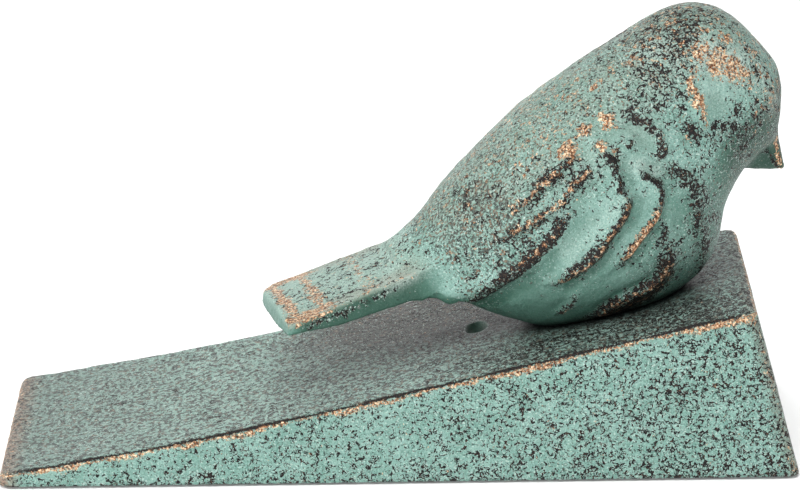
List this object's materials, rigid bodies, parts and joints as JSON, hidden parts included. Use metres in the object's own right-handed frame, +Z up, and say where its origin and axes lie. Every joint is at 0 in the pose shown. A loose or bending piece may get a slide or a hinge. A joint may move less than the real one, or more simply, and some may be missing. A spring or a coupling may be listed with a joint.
{
  "type": "door stop",
  "caption": "Cast-iron door wedge with a ramp on top and a songbird casting seated on it, verdigris finish, felt underneath.",
  "frame": {"origin": "centre of the footprint, on the floor under the felt", "axes": "+X from the thin toe to the tall heel, +Y across the wedge, +Z up"},
  "size_m": [0.14, 0.063, 0.0775],
  "materials": {
    "patina_iron_wedge": "semi-gloss verdigris paint over bronze, dark speckle and bare copper at the edges",
    "patina_iron_bird": "semi-gloss verdigris paint over bronze, dark speckle and rubbed copper on the high feathers",
    "zinc_steel": "zinc plated",
    "spring_steel": "oiled spring steel",
    "dowel_steel": "ground steel",
    "felt": "pressed wool felt, self-adhesive"
  },
  "bodies": {
    "root": {"wedge_base": "patina_iron_wedge", "bird_casting": "patina_iron_bird", "fixing_screw": "zinc_steel", "flat_washer": "zinc_steel", "spring_washer": "spring_steel", "dowel_pin": "dowel_steel", "felt_pad": "felt"}
  },
  "joints": []
}
